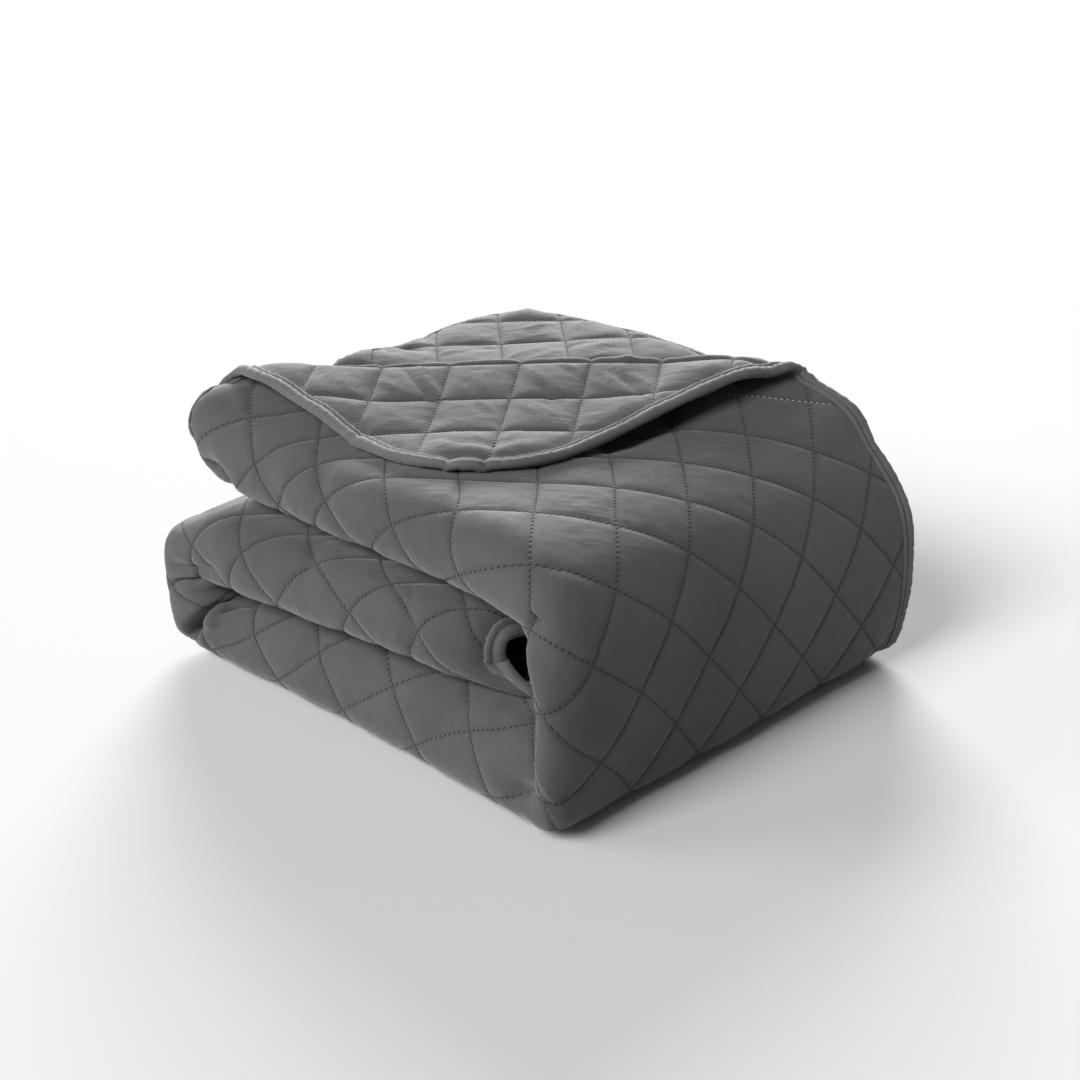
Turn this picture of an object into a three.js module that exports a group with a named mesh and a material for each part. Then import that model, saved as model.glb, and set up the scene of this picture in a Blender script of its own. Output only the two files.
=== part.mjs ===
// A quilted bedspread, folded: the sheet is gathered into a strip of four layers (one back-and-forth section),
// the strip lies as an S (middle run, bottom run, top run), and one corner of the top layer is turned back.
// Millimetres, +Z up. Front of the pile (the rolled folds) faces -Y, the doubled side faces +X.
import * as THREE from 'three';

// ---- sizes of the sheet ----
const WIDTH = 1715; // flat size across; the flat length follows from the fold table
const THICK = 6; // face, thin wadding and reverse together
const CORNER_RADIUS = 110; // rounded corners of the flat sheet
const CORNER_CHORDS = 6;

// ---- edge binding ----
const BIND_DEPTH = 14; // how far it reaches in from the edge, over a straight strip of the sheet
const BIND_WALL = 1;
const BIND_GAP = 0.3; // clear of the sheet all round

// ---- how the four layers lie in the strip ----
const INNER_GAP = 0.28; // spacing of layers 2 and 3, as a share of the strip's thickness
const INNER_SETBACK = 0.9; // how far the inner front fold stays behind the outer one, in inner gaps
const FLOOR_LIFT = 3.5; // the bound far edge rises off the floor by this much
const FLOOR_LIFT_RUN = 60; // over this width

// ---- the turned-back corner ----
const EAR = {
  along: 416, // from the corner along the long edge to the fold
  across: 372, // from the corner along the end edge to the fold
  radius: 9, // of the fold
  lie: 8.5, // mid-plane of the flap above the layer it lies on
  settle: 60, // distance in which the flap settles from the fold to lying
  swellMiddle: 10, // the layer swells towards the fold: in the fold's middle
  swellEnds: 11, // and this much more at its ends
  swellWidth: 85,
  swellRun: [620, 160], // where the swelling starts along the length, from the end, and over what length
  swellAcross: [480, 120], // and where it stops across
};

// ---- where the finished frame's origin lies: middle of the box, on the floor ----
const ORIGIN = { x: 16.005, y: -32.615 };

// The strip, section by section, from the tucked-in end to the top end.
// outX, outZ: path of the outer layer; inX, inZ: path of the layer on the other side; front: foremost y;
// fullOut, fullIn: roundness of the front fold towards each side; deepOut, deepIn: its depth in half thicknesses;
// far: y of the bound edge; rise, riseIn: how far the far side stands out at the outer and inner side;
// under: spacing of layers 1 and 4; tuck: how far layer 4 stays short of layer 1; steps: sections up to the next row.
const COLUMNS = [
  'outX', 'outZ', 'inX', 'inZ', 'front', 'fullOut', 'fullIn', 'deepOut', 'deepIn', 'far', 'rise', 'riseIn', 'under', 'tuck', 'steps',
];
const SECTIONS = [
  ['inner end', 192, 149, 192, 99, -250, 2.2, 2.2, 1.0, 1.0, 190, -6, -5, 11, 6, 2],
  ['middle 1', 134, 153, 134, 97, -266, 2.2, 2.6, 1.2, 0.9, 176, -5, -2, 15, 6, 2],
  ['middle 2', 0, 152, 0, 92, -273, 2.2, 2.8, 1.2, 0.8, 171, 0, 0, 17, 6, 2],
  ['middle 3', -108, 147, -108, 86, -275, 2.2, 2.8, 1.1, 0.8, 171, 0, 0, 17, 6, 2],
  ['shoulder', -188, 138, -150, 85, -275, 2.2, 2.8, 1.2, 0.8, 171, 0, 0, 17, 6, 2],
  ['left top', -235, 108, -176, 83, -275, 2.6, 2.6, 1.0, 0.8, 171, 0, 0, 17, 6, 2],
  ['left low', -238, 57, -186, 75, -274, 2.6, 2.4, 0.8, 0.8, 171, 0, 0, 17, 6, 2],
  ['left foot', -222, 16, -173, 64, -273, 3.0, 2.2, 0.8, 0.8, 173, 0, 0, 17, 6, 2],
  ['bottom 1', -181, 3, -138, 68, -268, 3.2, 2.2, 0.8, 0.8, 176, 0, 0, 18, 15, 2],
  ['bottom 2', 0, 3, 0, 79, -267, 3.4, 2.2, 0.8, 0.8, 176, 0, 0, 20, 15, 2],
  ['bottom 3', 140, 3, 140, 84, -273, 3.4, 2.2, 0.8, 0.8, 176, 0, 0, 28, 15, 1],
  ['bottom 4', 232, 3, 209, 86, -281, 3.4, 2.2, 0.7, 0.7, 176, 0, 0, 34, 15, 2],
  ['corner', 267, 13, 220, 97, -285, 3.4, 2.2, 0.6, 0.7, 176, -3, 0, 36, 15, 2],
  ['right 1', 278, 56, 226, 114, -283, 2.6, 2.2, 0.8, 0.8, 176, -2, 0, 22, 15, 1],
  ['right 2', 279, 108, 229, 135, -277, 2.4, 2.4, 0.9, 0.9, 176, 0, 0, 12, 15, 1],
  ['right 3', 276, 158, 228, 153, -272, 2.2, 2.6, 1.1, 0.9, 176, -9, -3, 10, 15, 2],
  ['crown 1', 254, 203, 219, 165, -268, 2.1, 2.6, 1.2, 0.9, 176, -22, -10, 10, 6, 2],
  ['crown 2', 197, 225, 182, 168, -262, 2.1, 2.6, 1.2, 0.9, 176, -13, -5, 11, -10, 2],
  ['top 1', 80, 229, 78, 168, -256, 2.1, 2.6, 1.2, 0.9, 176, 6, 0, 11, -22, 2],
  ['top 2', -46, 222, -46, 163, -249, 2.1, 2.6, 1.3, 0.9, 176, 25, 0, 11, -24, 2],
  ['top 3', -138, 218, -134, 158, -239, 2.1, 2.6, 1.3, 0.9, 176, 26, 0, 11, -24, 1],
  ['top 4', -200, 217, -193, 154, -229, 2.1, 2.6, 1.2, 0.9, 176, 28, 0, 11, -24, 1],
  ['end', -246, 214, -238, 153, -213, 2.1, 2.6, 1.1, 0.9, 184, 30, 0, 11, -20, 0],
].map((row) => Object.fromEntries([['name', row[0]], ...COLUMNS.map((c, i) => [c, row[i + 1]])]));

// Facets across each part of the section, from the outer bound edge to the inner one.
const FACETS = { layer1: 6, outerFold: 8, layer2: 2, farFold: 4, layer3: 2, innerFold: 4, layer4: 3 };
// Lines parallel to the turned-back fold where the sheet is faceted: before it, round it and on the flap.
const EAR_LINES = [-140, -80, -35, -14, -7, 0, 0.125, 0.25, 0.375, 0.5, 0.625, 0.75, 0.875, 1, 'flap', 7, 22, 60, 120];

// ---- path of the strip ----
const RAIL_STEPS = 24;
const VALUES = COLUMNS.slice(0, -1);

function makeRail() {
  const row = (s) => VALUES.map((c) => s[c]);
  const pts = SECTIONS.map(row);
  const beyond = (a, b) => a.map((x, i) => 2 * x - b[i]);
  const p = [beyond(pts[0], pts[1]), ...pts, beyond(pts[pts.length - 1], pts[pts.length - 2])];
  const knot = (a, b) => Math.max(Math.hypot(a[0] - b[0], a[1] - b[1]), 1e-6) ** 0.5;
  const out = [];
  for (let i = 1; i < p.length - 2; i++) {
    const [a, b, c, d] = [p[i - 1], p[i], p[i + 1], p[i + 2]];
    const [d1, d2, d3] = [knot(a, b), knot(b, c), knot(c, d)];
    for (let k = 0; k < RAIL_STEPS; k++) {
      const t = k / RAIL_STEPS;
      const h = [2 * t ** 3 - 3 * t ** 2 + 1, t ** 3 - 2 * t ** 2 + t, -2 * t ** 3 + 3 * t ** 2, t ** 3 - t ** 2];
      out.push(
        b.map((_, j) => {
          const m1 = ((b[j] - a[j]) / d1 - (c[j] - a[j]) / (d1 + d2) + (c[j] - b[j]) / d2) * d2;
          const m2 = ((c[j] - b[j]) / d2 - (d[j] - b[j]) / (d2 + d3) + (d[j] - c[j]) / d3) * d2;
          return h[0] * b[j] + h[1] * m1 + h[2] * c[j] + h[3] * m2;
        }),
      );
    }
  }
  out.push(pts[pts.length - 1]);
  for (const q of out) q[1] = Math.max(q[1], THICK / 2); // rests on the floor
  const dist = [0];
  for (let i = 1; i < out.length; i++) dist.push(dist[i - 1] + Math.hypot(out[i][0] - out[i - 1][0], out[i][1] - out[i - 1][1]));
  return { rows: out, dist };
}
const RAIL = makeRail();
const LENGTH = RAIL.dist[RAIL.dist.length - 1];

function lookup(xs, x) {
  let lo = 0;
  let hi = xs.length - 1;
  while (hi - lo > 1) {
    const mid = (lo + hi) >> 1;
    if (xs[mid] <= x) lo = mid;
    else hi = mid;
  }
  return [lo, Math.min(Math.max((x - xs[lo]) / (xs[hi] - xs[lo] || 1), 0), 1)];
}

function railAt(u) {
  const [i, t] = lookup(RAIL.dist, u);
  return Object.fromEntries(VALUES.map((c, j) => [c, RAIL.rows[i][j] * (1 - t) + RAIL.rows[i + 1][j] * t]));
}

// ---- one section of the strip: a polyline in (y, n), n across the strip towards the outer layer ----
const BOW_POINTS = 48;
const BEND_POINTS = 16;
const sectionCache = new Map();

function section(u) {
  const key = u.toFixed(4);
  if (sectionCache.has(key)) return sectionCache.get(key);
  const r = railAt(u);
  const thick = Math.hypot(r.outX - r.inX, r.outZ - r.inZ);
  const half = thick / 2;
  const e = [(r.outX - r.inX) / thick, (r.outZ - r.inZ) / thick];
  const gap = INNER_GAP * thick;
  const inner = thick - gap - r.under;

  const bow = [];
  for (let i = 0; i <= BOW_POINTS; i++) {
    const ph = (Math.PI * i) / BOW_POINTS;
    const outer = ph < Math.PI / 2;
    const power = 2 / (outer ? r.fullOut : r.fullIn);
    const deep = outer ? r.deepOut : r.deepIn;
    const c = Math.cos(ph);
    bow.push([
      r.front + deep * half * (1 - Math.abs(Math.sin(ph)) ** power),
      Math.sign(c) * Math.abs(c) ** power * half,
    ]);
  }
  const yInner = r.front + INNER_SETBACK * gap + inner / 2;
  const far4 = r.far - r.tuck;
  let bowLength = 0;
  for (let i = 1; i < bow.length; i++) bowLength += Math.hypot(bow[i][0] - bow[i - 1][0], bow[i][1] - bow[i - 1][1]);
  const start = bow[0][0];
  const yFar = (WIDTH - r.far - far4 + start + bow[BOW_POINTS][0] + 2 * yInner - bowLength - (Math.PI * (gap + inner)) / 2) / 2;

  const pts = [];
  const down = Math.max(-e[1], 0);
  for (const k of [0, 0.2, 0.4, 0.6, 0.8, 1]) pts.push([r.far - k * FLOOR_LIFT_RUN, half - FLOOR_LIFT * down * (1 - k) ** 2]);
  const marks = [0, pts.length];
  pts.push(...bow);
  marks.push(pts.length - 1, pts.length);
  for (let i = 0; i <= BEND_POINTS; i++) {
    const ph = (Math.PI * i) / BEND_POINTS;
    pts.push([yFar + (gap / 2) * Math.sin(ph), -half + (gap / 2) * (1 - Math.cos(ph))]);
  }
  marks.push(pts.length - 1, pts.length);
  for (let i = 0; i <= BEND_POINTS; i++) {
    const ph = (Math.PI * i) / BEND_POINTS;
    pts.push([yInner - (inner / 2) * Math.sin(ph), -half + gap + (inner / 2) * (1 - Math.cos(ph))]);
  }
  marks.push(pts.length - 1, pts.length);
  pts.push([far4, half - r.under]);

  const s = [0];
  for (let i = 1; i < pts.length; i++) s.push(s[i - 1] + Math.hypot(pts[i][0] - pts[i - 1][0], pts[i][1] - pts[i - 1][1]));
  const scale = WIDTH / s[s.length - 1];
  for (let i = 0; i < s.length; i++) s[i] *= scale;
  for (const q of pts) {
    const w = Math.min(Math.max((q[0] - start) / (r.far - start), 0), 1.1);
    const k = q[1] / thick + 0.5;
    q[1] += w * w * (r.rise * k + r.riseIn * (1 - k));
  }
  const made = { s, pts, marks, e, mid: [(r.outX + r.inX) / 2, (r.outZ + r.inZ) / 2] };
  sectionCache.set(key, made);
  return made;
}

// The flat sheet's point (u along, v across) on the folded strip, without the turned-back corner.
function onStrip(u, v) {
  const c = section(u);
  const [i, t] = lookup(c.s, v);
  const y = c.pts[i][0] * (1 - t) + c.pts[i + 1][0] * t;
  const n = c.pts[i][1] * (1 - t) + c.pts[i + 1][1] * t;
  return new THREE.Vector3(c.mid[0] + c.e[0] * n - ORIGIN.x, y - ORIGIN.y, c.mid[1] + c.e[1] * n);
}

const SLOPE = 2; // step for directions on the sheet
const clamp = (x, lo, hi) => Math.min(Math.max(x, lo), hi);

// The same, carried on straight past the sheet's edges.
function strip(u, v) {
  const [uc, vc] = [clamp(u, 0, LENGTH), clamp(v, 0, WIDTH)];
  const p = onStrip(uc, vc);
  if (uc !== u) {
    const back = uc > 0 ? -SLOPE : SLOPE;
    p.addScaledVector(onStrip(uc + back, vc).sub(onStrip(uc, vc)), (u - uc) / back);
  }
  if (vc !== v) {
    const back = vc > 0 ? -SLOPE : SLOPE;
    p.addScaledVector(onStrip(uc, vc + back).sub(onStrip(uc, vc)), (v - vc) / back);
  }
  return p;
}

function normalOf(map, u, v) {
  const [uc, vc] = [clamp(u, SLOPE, LENGTH - SLOPE), clamp(v, SLOPE, WIDTH - SLOPE)];
  const du = map(uc + SLOPE, vc).sub(map(uc - SLOPE, vc));
  const dv = map(uc, vc + SLOPE).sub(map(uc, vc - SLOPE));
  return du.cross(dv).normalize();
}

// ---- the turned-back corner ----
const clamp01 = (x) => clamp(x, 0, 1);
const EAR_LENGTH = Math.hypot(EAR.along, EAR.across);
const EAR_DIR = [-EAR.along / EAR_LENGTH, -EAR.across / EAR_LENGTH]; // along the fold
const EAR_OUT = [EAR.across / EAR_LENGTH, -EAR.along / EAR_LENGTH]; // from the fold to the corner
const earDistance = (u, v) => (u - LENGTH) * EAR_OUT[0] + (v - EAR.across) * EAR_OUT[1];

function sheet(u, v) {
  const d = earDistance(u, v);
  const along = (u - LENGTH) * EAR_DIR[0] + (v - EAR.across) * EAR_DIR[1];
  const turned = d > 0;
  let [uu, vv, off, lift] = [u, v, d, 0];
  if (turned) {
    const past = Math.max(d - Math.PI * EAR.radius, 0);
    const turn = Math.min(d / EAR.radius, Math.PI);
    off = EAR.radius * Math.sin(turn) - past;
    const settled = 1 - Math.exp(-past / EAR.settle);
    lift = past > 0 ? 2 * EAR.radius * (1 - settled) + EAR.lie * settled : EAR.radius * (1 - Math.cos(turn));
    uu = LENGTH + along * EAR_DIR[0] + off * EAR_OUT[0];
    vv = EAR.across + along * EAR_DIR[1] + off * EAR_OUT[1];
  }
  const here =
    clamp01((u - LENGTH + EAR.swellRun[0]) / EAR.swellRun[1]) * clamp01((EAR.swellAcross[0] - v) / EAR.swellAcross[1]);
  const side = 2 * clamp01(along / EAR_LENGTH) - 1;
  lift += (EAR.swellMiddle + EAR.swellEnds * side * side) * Math.exp(-((off / EAR.swellWidth) ** 2)) * here;
  const p = strip(uu, vv);
  return lift > 1e-6 ? p.addScaledVector(normalOf(strip, uu, vv), lift) : p;
}

// ---- facets of the flat sheet ----
const SNAP = 0.5;

function stations() {
  const us = [];
  SECTIONS.forEach((s, i) => {
    const from = RAIL.dist[i * RAIL_STEPS];
    const to = RAIL.dist[Math.min((i + 1) * RAIL_STEPS, RAIL.dist.length - 1)];
    for (let k = 0; k < Math.max(s.steps, 1); k++) us.push(from + ((to - from) * k) / Math.max(s.steps, 1));
  });
  return us;
}

function across(u) {
  const { s, marks } = section(u);
  const at = (i) => s[Math.round(i)];
  const vs = [];
  const straight = (from, to, n) => {
    for (let k = 0; k < n; k++) vs.push(from + ((to - from) * k) / n);
  };
  const curved = (from, to, n) => {
    for (let k = 0; k < n; k++) vs.push(at(from + ((to - from) * k) / n));
  };
  straight(0, at(marks[1]), FACETS.layer1);
  curved(marks[1], marks[2], FACETS.outerFold);
  straight(at(marks[2]), at(marks[3]), FACETS.layer2);
  curved(marks[3], marks[4], FACETS.farFold);
  straight(at(marks[4]), at(marks[5]), FACETS.layer3);
  curved(marks[5], marks[6], FACETS.innerFold);
  straight(at(marks[6]), WIDTH, FACETS.layer4);
  vs.push(WIDTH);
  return vs;
}

// Cuts a convex polygon by a line; points within SNAP of it count as on it.
function cut(poly, side) {
  const keep = [];
  const drop = [];
  const ds = poly.map((p) => {
    const d = side(p);
    return Math.abs(d) < SNAP ? 0 : d;
  });
  poly.forEach((p, i) => {
    const j = (i + 1) % poly.length;
    if (ds[i] >= 0) keep.push(p);
    if (ds[i] <= 0) drop.push(p);
    if (ds[i] * ds[j] < 0) {
      const first = p[0] < poly[j][0] || (p[0] === poly[j][0] && p[1] < poly[j][1]);
      const [a, b, da, db] = first ? [p, poly[j], ds[i], ds[j]] : [poly[j], p, ds[j], ds[i]];
      const t = da / (da - db);
      const q = [a[0] + (b[0] - a[0]) * t, a[1] + (b[1] - a[1]) * t];
      keep.push(q);
      drop.push(q);
    }
  });
  const solid = (list, sign) => (list.length > 2 && ds.some((d) => d * sign > 0) ? list : null);
  return [solid(keep, 1), solid(drop, -1)];
}

// Sides of the rounded rectangle inside the edge strip, as signed distances inwards.
function roundedSides() {
  const [u0, u1, v0, v1] = [BIND_DEPTH, LENGTH - BIND_DEPTH, BIND_DEPTH, WIDTH - BIND_DEPTH];
  const sides = [(p) => p[0] - u0, (p) => u1 - p[0], (p) => p[1] - v0, (p) => v1 - p[1]];
  const r = CORNER_RADIUS - BIND_DEPTH;
  const step = Math.PI / 2 / CORNER_CHORDS;
  for (const [cu, cv, a0] of corners()) {
    for (let k = 0; k < CORNER_CHORDS; k++) {
      const a = a0 + (k + 0.5) * step;
      const reach = r * Math.cos(step / 2);
      sides.push((p) => reach - (p[0] - cu) * Math.cos(a) - (p[1] - cv) * Math.sin(a));
    }
  }
  return sides;
}

function corners() {
  const [lo, hiU, hiV] = [CORNER_RADIUS, LENGTH - CORNER_RADIUS, WIDTH - CORNER_RADIUS];
  return [
    [hiU, hiV, 0],
    [lo, hiV, Math.PI / 2],
    [lo, lo, Math.PI],
    [hiU, lo, 1.5 * Math.PI],
  ];
}

function outwards(p) {
  for (const [cu, cv, a0] of corners()) {
    const [du, dv] = [p[0] - cu, p[1] - cv];
    if (du * Math.round(Math.cos(a0 + Math.PI / 4)) >= 0 && dv * Math.round(Math.sin(a0 + Math.PI / 4)) >= 0) {
      const r = Math.hypot(du, dv);
      return [du / r, dv / r];
    }
  }
  const ways = [
    [p[0], [-1, 0]],
    [LENGTH - p[0], [1, 0]],
    [p[1], [0, -1]],
    [WIDTH - p[1], [0, 1]],
  ];
  return ways.sort((a, b) => a[0] - b[0])[0][1];
}

function facets() {
  const us = stations();
  const vs = us.map(across);
  const turn = Math.PI * EAR.radius;
  const flap = EAR_LINES.indexOf('flap');
  const lines = EAR_LINES.filter((x) => x !== 'flap').map((x, i) => (i >= flap ? turn + x : x > 0 ? x * turn : x));
  const sides = roundedSides();
  let cells = [];
  for (let i = 0; i + 1 < us.length; i++)
    for (let j = 0; j + 1 < vs[i].length; j++)
      cells.push([
        [us[i], vs[i][j]],
        [us[i + 1], vs[i + 1][j]],
        [us[i + 1], vs[i + 1][j + 1]],
        [us[i], vs[i][j + 1]],
      ]);
  for (const d of lines) cells = cells.flatMap((c) => cut(c, (p) => earDistance(p[0], p[1]) - d).filter(Boolean));
  for (const side of sides) cells = cells.map((c) => cut(c, side)[0]).filter(Boolean);
  return cells;
}

// ---- bodies ----
class Body {
  constructor() {
    this.xyz = [];
    this.tri = [];
  }
  point(p) {
    const z = Math.abs(p.z) < 0.02 ? 0 : Math.max(p.z, 0);
    this.xyz.push(p.x, p.y, z);
    return this.xyz.length / 3 - 1;
  }
  face(...ids) {
    for (let k = 1; k + 1 < ids.length; k++) this.tri.push(ids[0], ids[k], ids[k + 1]);
  }
  mesh(name) {
    const g = new THREE.BufferGeometry();
    g.setAttribute('position', new THREE.Float32BufferAttribute(this.xyz, 3));
    g.setIndex(this.tri);
    g.computeVertexNormals();
    const m = new THREE.Mesh(g, new THREE.MeshStandardMaterial({ color: 0x6a6b6b, roughness: 0.9 }));
    m.name = name;
    return m;
  }
}

const cells = facets();
const ids = new Map();
const flat = [];
const loops = cells.map((c) => {
  const loop = [];
  for (const p of c) {
    const key = p[0].toFixed(4) + ' ' + p[1].toFixed(4);
    if (!ids.has(key)) {
      ids.set(key, flat.length);
      flat.push(p);
    }
    const id = ids.get(key);
    if (loop[loop.length - 1] !== id && loop[0] !== id) loop.push(id);
  }
  return loop;
}).filter((loop) => loop.length > 2);

const mid = flat.map(([u, v]) => sheet(u, v));
const nrm = flat.map(([u, v]) => normalOf(sheet, u, v));
const edges = new Map();
for (const loop of loops)
  loop.forEach((a, k) => {
    const b = loop[(k + 1) % loop.length];
    if (edges.has(b + ' ' + a)) edges.delete(b + ' ' + a);
    else edges.set(a + ' ' + b, [a, b]);
  });

// The edge strip: each rim point gets a point straight out from it, and the frame that the binding shares.
const next = new Map([...edges.values()]);
const rim = [next.keys().next().value];
while (next.get(rim[rim.length - 1]) !== rim[0]) rim.push(next.get(rim[rim.length - 1]));
const frames = rim.map((i) => {
  const way = outwards(flat[i]);
  const end = sheet(flat[i][0] + way[0] * BIND_DEPTH, flat[i][1] + way[1] * BIND_DEPTH);
  const out = end.sub(mid[i]).normalize();
  const n = nrm[i].addScaledVector(out, -nrm[i].dot(out)).normalize();
  return { at: mid[i].clone().addScaledVector(out, BIND_DEPTH), out, n };
});

const quilt = new Body();
const up = mid.map((p, i) => quilt.point(p.clone().addScaledVector(nrm[i], THICK / 2)));
const low = mid.map((p, i) => quilt.point(p.clone().addScaledVector(nrm[i], -THICK / 2)));
for (const loop of loops) {
  quilt.face(...loop.map((i) => up[i]));
  quilt.face(...loop.map((i) => low[i]).reverse());
}
const outUp = frames.map((f) => quilt.point(f.at.clone().addScaledVector(f.n, THICK / 2)));
const outLow = frames.map((f) => quilt.point(f.at.clone().addScaledVector(f.n, -THICK / 2)));
rim.forEach((a, k) => {
  const m = (k + 1) % rim.length;
  const b = rim[m];
  quilt.face(up[b], up[a], outUp[k], outUp[m]);
  quilt.face(low[a], low[b], outLow[m], outLow[k]);
  quilt.face(outUp[m], outUp[k], outLow[k], outLow[m]);
});

// The binding: a channel section carried round the edge.
const inside = THICK / 2 + BIND_GAP;
const outside = inside + BIND_WALL;
const CHANNEL = [
  { out: -BIND_DEPTH, n: -outside, outer: true },
  { out: BIND_GAP + BIND_WALL, n: -outside, outer: true },
  { out: BIND_GAP + BIND_WALL, n: outside, outer: true },
  { out: -BIND_DEPTH, n: outside },
  { out: -BIND_DEPTH, n: inside },
  { out: BIND_GAP, n: inside },
  { out: BIND_GAP, n: -inside },
  { out: -BIND_DEPTH, n: -inside },
];
const binding = new Body();
const rings = frames.map((f) =>
  CHANNEL.map((c) => binding.point(f.at.clone().addScaledVector(f.out, c.out).addScaledVector(f.n, c.n))),
);
rings.forEach((a, k) => {
  const b = rings[(k + 1) % rings.length];
  CHANNEL.forEach((_, i) => {
    const j = (i + 1) % CHANNEL.length;
    if (CHANNEL[i].outer) binding.face(a[i], b[i], b[j], a[j]);
    else binding.face(b[i], b[j], a[j], a[i]);
  });
});

const bedspread = new THREE.Group();
bedspread.name = 'bedspread';
bedspread.add(quilt.mesh('quilt'), binding.mesh('binding'));
export default bedspread;
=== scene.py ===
import math
import bpy
import numpy as np
from mathutils import Matrix, Vector


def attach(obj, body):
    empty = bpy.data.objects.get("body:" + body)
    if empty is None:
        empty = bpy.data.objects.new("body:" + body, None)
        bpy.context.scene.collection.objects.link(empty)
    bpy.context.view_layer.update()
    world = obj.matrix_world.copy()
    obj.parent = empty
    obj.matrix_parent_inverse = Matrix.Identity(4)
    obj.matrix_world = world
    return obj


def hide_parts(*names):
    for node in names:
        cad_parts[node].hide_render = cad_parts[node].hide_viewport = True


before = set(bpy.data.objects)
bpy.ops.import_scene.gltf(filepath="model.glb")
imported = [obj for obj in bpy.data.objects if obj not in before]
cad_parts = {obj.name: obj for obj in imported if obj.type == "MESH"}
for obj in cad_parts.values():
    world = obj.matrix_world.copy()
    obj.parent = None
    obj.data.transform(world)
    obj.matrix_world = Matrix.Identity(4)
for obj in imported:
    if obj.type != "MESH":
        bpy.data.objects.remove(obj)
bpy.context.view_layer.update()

MM = 0.001

# ---------------------------------------------------------------- the fold, in millimetres
WIDTH = 1715.0
THICK = 6.0
CORNER_RADIUS = 110.0
BIND_DEPTH = 14.0
INNER_GAP = 0.28
INNER_SETBACK = 0.9
FLOOR_LIFT, FLOOR_LIFT_RUN = 3.5, 60.0
ORIGIN = np.array([16.005, -32.615, 0.0])

EAR_ALONG, EAR_ACROSS = 416.0, 372.0      # the turned-back corner: where its fold meets the two edges
EAR_RADIUS, EAR_LIE, EAR_SETTLE = 9.0, 8.5, 60.0
SWELL_MIDDLE, SWELL_ENDS, SWELL_WIDTH = 10.0, 11.0, 85.0

COLUMNS = ("outX", "outZ", "inX", "inZ", "front", "fullOut", "fullIn", "deepOut", "deepIn", "far", "rise", "riseIn", "under", "tuck")
SECTIONS = (
    ("inner end", 192, 149, 192, 99, -250, 2.2, 2.2, 1.0, 1.0, 190, -6, -5, 11, 6),
    ("middle 1", 134, 153, 134, 97, -266, 2.2, 2.6, 1.2, 0.9, 176, -5, -2, 15, 6),
    ("middle 2", 0, 152, 0, 92, -273, 2.2, 2.8, 1.2, 0.8, 171, 0, 0, 17, 6),
    ("middle 3", -108, 147, -108, 86, -275, 2.2, 2.8, 1.1, 0.8, 171, 0, 0, 17, 6),
    ("shoulder", -188, 138, -150, 85, -275, 2.2, 2.8, 1.2, 0.8, 171, 0, 0, 17, 6),
    ("left top", -235, 108, -176, 83, -275, 2.6, 2.6, 1.0, 0.8, 171, 0, 0, 17, 6),
    ("left low", -238, 57, -186, 75, -274, 2.6, 2.4, 0.8, 0.8, 171, 0, 0, 17, 6),
    ("left foot", -222, 16, -173, 64, -273, 3.0, 2.2, 0.8, 0.8, 173, 0, 0, 17, 6),
    ("bottom 1", -181, 3, -138, 68, -268, 3.2, 2.2, 0.8, 0.8, 176, 0, 0, 18, 15),
    ("bottom 2", 0, 3, 0, 79, -267, 3.4, 2.2, 0.8, 0.8, 176, 0, 0, 20, 15),
    ("bottom 3", 140, 3, 140, 84, -273, 3.4, 2.2, 0.8, 0.8, 176, 0, 0, 28, 15),
    ("bottom 4", 232, 3, 209, 86, -281, 3.4, 2.2, 0.7, 0.7, 176, 0, 0, 34, 15),
    ("corner", 267, 13, 220, 97, -285, 3.4, 2.2, 0.6, 0.7, 176, -3, 0, 36, 15),
    ("right 1", 278, 56, 226, 114, -283, 2.6, 2.2, 0.8, 0.8, 176, -2, 0, 22, 15),
    ("right 2", 279, 108, 229, 135, -277, 2.4, 2.4, 0.9, 0.9, 176, 0, 0, 12, 15),
    ("right 3", 276, 158, 228, 153, -272, 2.2, 2.6, 1.1, 0.9, 176, -9, -3, 10, 15),
    ("crown 1", 254, 203, 219, 165, -268, 2.1, 2.6, 1.2, 0.9, 176, -22, -10, 10, 6),
    ("crown 2", 197, 225, 182, 168, -262, 2.1, 2.6, 1.2, 0.9, 176, -13, -5, 11, -10),
    ("top 1", 80, 229, 78, 168, -256, 2.1, 2.6, 1.2, 0.9, 176, 6, 0, 11, -22),
    ("top 2", -46, 222, -46, 163, -249, 2.1, 2.6, 1.3, 0.9, 176, 25, 0, 11, -24),
    ("top 3", -138, 218, -134, 158, -239, 2.1, 2.6, 1.3, 0.9, 176, 26, 0, 11, -24),
    ("top 4", -200, 217, -193, 154, -229, 2.1, 2.6, 1.2, 0.9, 176, 28, 0, 11, -24),
    ("end", -246, 214, -238, 153, -213, 2.1, 2.6, 1.1, 0.9, 184, 30, 0, 11, -20),
)
RAIL_STEPS, BOW_POINTS, BEND_POINTS = 24, 48, 16


def smooth(x, lo, hi):
    t = np.clip((x - lo) / (hi - lo), 0, 1)
    return t * t * (3 - 2 * t)


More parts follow.
